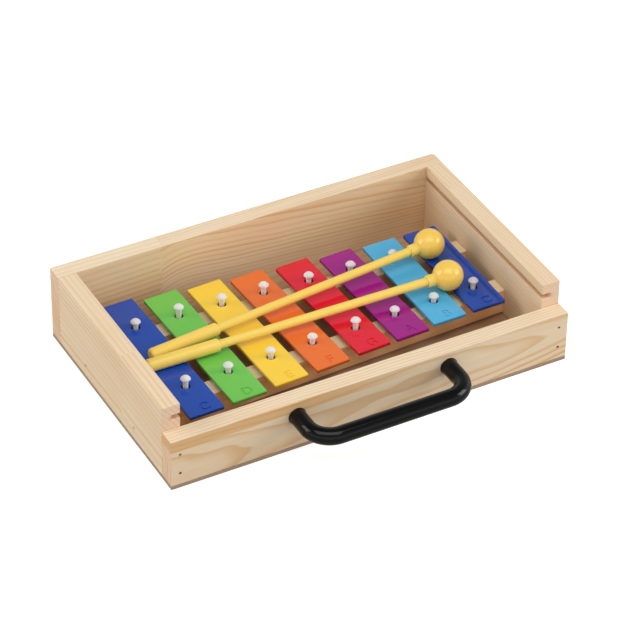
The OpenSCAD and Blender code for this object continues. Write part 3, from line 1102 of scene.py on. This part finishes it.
def makeHandle():
    low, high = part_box("handle")
    rodR, bend = handle["rod"] / 2, handle["bend"]
    middleZ = (low.z + high.z) / 2
    leftX, rightX, frontY = low.x + rodR, high.x - rodR, low.y + rodR
    deselectAll()
    bpy.ops.mesh.primitive_circle_add(vertices=handle["sides"], radius=rodR + handle["rim"], fill_type="NGON",
                                      location=(leftX, high.y, middleZ), rotation=(math.radians(90), 0, 0))
    piece = bpy.context.object
    piece.name = "carryingHandle"
    bpy.ops.object.transform_apply(location=True, rotation=True, scale=True)
    editAll(piece)
    rim, shrink = handle["rimLength"], rodR / (rodR + handle["rim"])
    legLength = high.y - frontY - bend - 2 * rim
    pullFace(0, -rim, 0)
    pullFace(0, -rim, 0)
    bpy.ops.transform.resize(value=(shrink, 1, shrink), center_override=(leftX, 0, middleZ))
    pullFace(0, -legLength, 0)
    bendRod((leftX + bend, frontY + bend, middleZ))
    pullFace(rightX - leftX - 2 * bend, 0, 0)
    bendRod((rightX - bend, frontY + bend, middleZ))
    pullFace(0, legLength, 0)
    pullFace(0, rim, 0)
    bpy.ops.transform.resize(value=(1 / shrink, 1, 1 / shrink), center_override=(rightX, 0, middleZ))
    pullFace(0, rim, 0)
    bpy.ops.mesh.select_all(action="SELECT")
    bpy.ops.mesh.remove_doubles(threshold=0.00001)
    bpy.ops.mesh.normals_make_consistent(inside=False)
    objectMode()
    softenEdges(piece, handle["edge"], 2, 60)
    finishPiece(piece, handleMaterial(), "case", ["handle"])


makeHandle()
print("the handle is made")


# mallets
mallet = {
    "ball": 21.7 * mm,
    "length": 224.5 * mm,
    "grip": 9.3 * mm,
    "gripLength": 52.5 * mm,
    "gripEnd": 2 * mm,
    "shoulder": 1.6 * mm,
    "shaft": 6.2 * mm,
    "collar": 8.6 * mm,
    "collarLength": 16.5 * mm,
    "collarRound": 0.6 * mm,
    "peg": 5 * mm,
    "collarEnd": 0.86,  # where the collar meets the ball, as a part of the ball's radius
    "ballSteps": 32,
    "stickColor": (0.88, 0.63, 0.125),
    "ballColor": (0.88, 0.575, 0.10),
}


def malletMaterial(name, color, roughness):
    material, tree, shader, coords = startMaterial(name)
    flow = noiseAt(tree, coords["Object"], 30, 3)
    darker = tuple(channel * 0.86 for channel in color)
    feed(shader, "Base Color", blendColors(tree, ease(tree, flow[0], 0.4, 0.75, 0.0, 0.12), color, darker))
    feed(shader, "Roughness", roughness)
    feed(shader, "Subsurface Weight", 0.15)
    feed(shader, "Subsurface Scale", 1 * mm)
    addBump(shader, flow[0], 0.02, 0.2 * mm)
    return material


def malletPlace(body):
    # from the frame: the ball's middle, and the direction from the grip's end to it
    lowBall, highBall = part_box(body + "_ball")
    stick = frame["nodes"][body + "_stick"].data.vertices
    ballR = mallet["ball"] / 2
    centre = Vector((highBall.x - ballR, (lowBall.y + highBall.y) / 2, (lowBall.z + highBall.z) / 2))
    reach = mallet["length"] - mallet["gripEnd"] * 1.5
    far = [point.co for point in stick if (point.co - centre).length > reach]
    tail = sum(far, Vector()) / len(far)
    return centre, (centre - tail).normalized()


def makeMalletPatterns():
    # a stick and a ball along Z, the ball's middle at the origin
    gripR, shaftR, collarR, ballR = (mallet[key] / 2 for key in ("grip", "shaft", "collar", "ball"))
    tail = -mallet["length"]
    step = tail + mallet["gripLength"]
    collarStart = -mallet["collarLength"]
    rings = roundEdge(tail + mallet["gripEnd"], gripR, mallet["gripEnd"], 180, 90)
    rings += roundEdge(step - mallet["shoulder"], gripR, mallet["shoulder"], 90, 10)
    rings += [(step, shaftR + 0.3 * mm), (step + 0.4 * mm, shaftR), (collarStart, shaftR)]
    rings += roundEdge(collarStart + mallet["collarRound"], collarR, mallet["collarRound"], 180, 90, 4)
    collarEnd = -ballR * mallet["collarEnd"]
    rings += [(collarEnd, collarR), (collarEnd, shaftR), (mallet["peg"], shaftR)]
    stick = turnOnLathe("stickPattern", rings)
    mouth = math.asin(shaftR / ballR)
    rings = [(mallet["peg"], 0.4 * mm), (mallet["peg"], shaftR)]
    for turn in range(mallet["ballSteps"] + 1):
        angle = mouth + (math.pi - mouth) * turn / mallet["ballSteps"]
        rings.append((-ballR * math.cos(angle), max(ballR * math.sin(angle), 0.04 * mm)))
    return stick, turnOnLathe("ballPattern", rings, 64)


def layMallet(body, name, patterns, materials):
    centre, way = malletPlace(body)
    laid = Matrix.Translation(centre) @ way.to_track_quat("Z", "Y").to_matrix().to_4x4()
    for pattern, material, part, angle in zip(patterns, materials, ("stick", "ball"), (40, 60)):
        made = copyOf(pattern, name + part.capitalize())
        place(made, laid)
        finishPiece(made, material, body, [body + "_" + part], angle)


malletPatterns = makeMalletPatterns()
malletPlastics = (malletMaterial("stickPlastic", mallet["stickColor"], 0.2),
                  malletMaterial("ballPlastic", mallet["ballColor"], 0.11))
layMallet("back_mallet", "backMallet", malletPatterns, malletPlastics)
layMallet("front_mallet", "frontMallet", malletPatterns, malletPlastics)
for pattern in malletPatterns:
    discard(pattern)
print("the two mallets are made")
